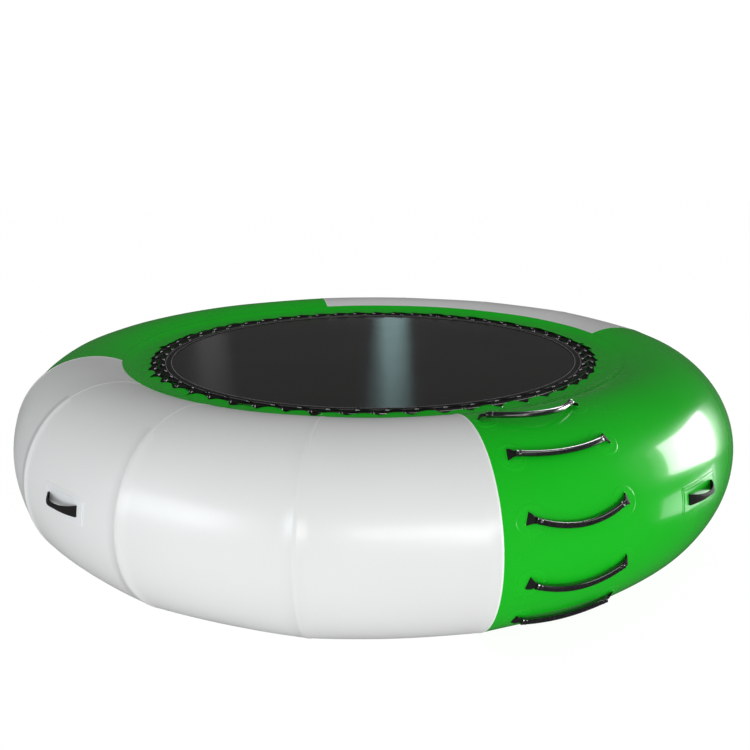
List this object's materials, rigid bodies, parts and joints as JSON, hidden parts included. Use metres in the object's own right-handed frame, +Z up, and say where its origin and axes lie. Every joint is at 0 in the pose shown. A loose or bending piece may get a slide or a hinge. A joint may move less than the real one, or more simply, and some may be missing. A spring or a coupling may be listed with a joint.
{
  "type": "water trampoline",
  "caption": "Floating trampoline: an inflated ring of welded panels with a laced jumping mat, a cover flap, a boarding ladder, carry handles and mooring rings.",
  "frame": {"origin": "centre of the ring, at the plane that the underside rests on", "axes": "+Z up through the middle of the jumping mat; the boarding ladder is towards -Y, a little to +X"},
  "size_m": [3.9994, 3.9994, 0.9541],
  "materials": {
    "pvc_green": "gloss",
    "pvc_white": "gloss",
    "mat_black": "satin",
    "webbing_black": "matte",
    "elastic_black": "matte",
    "hose_black": "satin",
    "valve_grey": "satin",
    "ring_steel": "polished"
  },
  "bodies": {
    "tube": {"anchor_band": "webbing_black", "anchor_patch_1": "webbing_black", "anchor_patch_2": "webbing_black", "anchor_patch_3": "webbing_black", "anchor_patch_4": "webbing_black", "cover_flap": "pvc_green", "handle_patch_1": "pvc_green", "handle_patch_2": "pvc_white", "handle_patch_3": "pvc_green", "handle_patch_4": "pvc_white", "lacing_1": "elastic_black", "lacing_2": "elastic_black", "lacing_3": "elastic_black", "lacing_4": "elastic_black", "rung_patch_1_left": "pvc_green", "rung_patch_1_right": "pvc_green", "rung_patch_2_left": "pvc_green", "rung_patch_2_right": "pvc_green", "rung_patch_3_left": "pvc_green", "rung_patch_3_right": "pvc_green", "rung_patch_4_left": "pvc_green", "rung_patch_4_right": "pvc_green", "rung_patch_5_left": "pvc_green", "rung_patch_5_right": "pvc_green", "tube_panel_01": "pvc_green", "tube_panel_02": "pvc_green", "tube_panel_03": "pvc_green", "tube_panel_04": "pvc_green", "tube_panel_05": "pvc_white", "tube_panel_06": "pvc_white", "tube_panel_07": "pvc_white", "tube_panel_08": "pvc_white", "tube_panel_09": "pvc_green", "tube_panel_10": "pvc_green", "tube_panel_11": "pvc_green", "tube_panel_12": "pvc_green", "tube_panel_13": "pvc_white", "tube_panel_14": "pvc_white", "tube_panel_15": "pvc_white", "tube_panel_16": "pvc_white", "valve_body": "valve_grey", "valve_spring": "ring_steel"},
    "bed": {"jump_mat": "mat_black", "mat_border": "webbing_black", "mat_hem": "webbing_black"},
    "valve_plunger": {"valve_plunger": "valve_grey"},
    "valve_cap": {"valve_cap": "valve_grey"},
    "rung_1": {"rung_1": "hose_black"},
    "rung_2": {"rung_2": "hose_black"},
    "rung_3": {"rung_3": "hose_black"},
    "rung_4": {"rung_4": "hose_black"},
    "rung_5": {"rung_5": "hose_black"},
    "handle_1": {"handle_1": "webbing_black"},
    "anchor_ring_1": {"anchor_ring_1": "ring_steel"},
    "handle_2": {"handle_2": "webbing_black"},
    "anchor_ring_2": {"anchor_ring_2": "ring_steel"},
    "handle_3": {"handle_3": "webbing_black"},
    "anchor_ring_3": {"anchor_ring_3": "ring_steel"},
    "handle_4": {"handle_4": "webbing_black"},
    "anchor_ring_4": {"anchor_ring_4": "ring_steel"}
  },
  "joints": [
    {"name": "bed_bounce", "type": "slide", "parent": "tube", "child": "bed", "axis": [0, 0, 1], "range_m": [-0.11, 0.02], "stiffness_N_per_m": 6000, "springref_m": 0.0055, "deforming": ["lacing_1", "lacing_2", "lacing_3", "lacing_4"]},
    {"name": "rung_1_swing", "type": "hinge", "parent": "tube", "child": "rung_1", "pos_m": [0.6517, -1.46395, 0.93889], "axis": [-0.913, -0.4079, 0], "range_deg": [-4, 110]},
    {"name": "rung_2_swing", "type": "hinge", "parent": "tube", "child": "rung_2", "pos_m": [0.74215, -1.66698, 0.84481], "axis": [-0.9141, -0.4055, 0], "range_deg": [-4, 110]},
    {"name": "rung_3_swing", "type": "hinge", "parent": "tube", "child": "rung_3", "pos_m": [0.80418, -1.80628, 0.62686], "axis": [-0.9148, -0.4038, 0], "range_deg": [-4, 110]},
    {"name": "rung_4_swing", "type": "hinge", "parent": "tube", "child": "rung_4", "pos_m": [0.81284, -1.82573, 0.36244], "axis": [-0.9149, -0.4036, 0], "range_deg": [-4, 110]},
    {"name": "rung_5_swing", "type": "hinge", "parent": "tube", "child": "rung_5", "pos_m": [0.77734, -1.74599, 0.1639], "axis": [-0.9145, -0.4045, 0], "range_deg": [-4, 110]},
    {"name": "handle_1_swing", "type": "hinge", "parent": "tube", "child": "handle_1", "pos_m": [1.43972, -1.38781, 0.52766], "axis": [-0.6905, -0.7234, 0], "range_deg": [-40, 48]},
    {"name": "handle_2_swing", "type": "hinge", "parent": "tube", "child": "handle_2", "pos_m": [1.3684, 1.45982, 0.52766], "axis": [0.7342, -0.6789, 0], "range_deg": [-40, 48]},
    {"name": "handle_3_swing", "type": "hinge", "parent": "tube", "child": "handle_3", "pos_m": [-1.45982, 1.3684, 0.52766], "axis": [0.6789, 0.7342, 0], "range_deg": [-40, 48]},
    {"name": "handle_4_swing", "type": "hinge", "parent": "tube", "child": "handle_4", "pos_m": [-1.33552, -1.49105, 0.52766], "axis": [-0.7402, 0.6724, 0], "range_deg": [-40, 48]},
    {"name": "anchor_ring_1_swing", "type": "hinge", "parent": "tube", "child": "anchor_ring_1", "pos_m": [1.33534, -0.19957, 0.06082], "axis": [0.1478, 0.989, 0], "range_deg": [-3, 160]},
    {"name": "anchor_ring_2_swing", "type": "hinge", "parent": "tube", "child": "anchor_ring_2", "pos_m": [0.19957, 1.33534, 0.06082], "axis": [-0.989, 0.1478, 0], "range_deg": [-3, 160]},
    {"name": "anchor_ring_3_swing", "type": "hinge", "parent": "tube", "child": "anchor_ring_3", "pos_m": [-1.33534, 0.19957, 0.06082], "axis": [-0.1478, -0.989, 0], "range_deg": [-3, 160]},
    {"name": "anchor_ring_4_swing", "type": "hinge", "parent": "tube", "child": "anchor_ring_4", "pos_m": [-0.19957, -1.33534, 0.06082], "axis": [0.989, -0.1478, 0], "range_deg": [-3, 160]},
    {"name": "valve_cap_turn", "type": "hinge", "parent": "tube", "child": "valve_cap", "pos_m": [-0.09191, 1.91352, 0.72897], "axis": [-0.0399, 0.8312, 0.5545], "range_deg": [0, 90]},
    {"name": "valve_plunger_press", "type": "slide", "parent": "tube", "child": "valve_plunger", "axis": [0.0399, -0.8312, -0.5545], "range_m": [0, 0.005], "stiffness_N_per_m": 400, "springref_m": -0.002, "deforming": ["valve_spring"]}
  ]
}
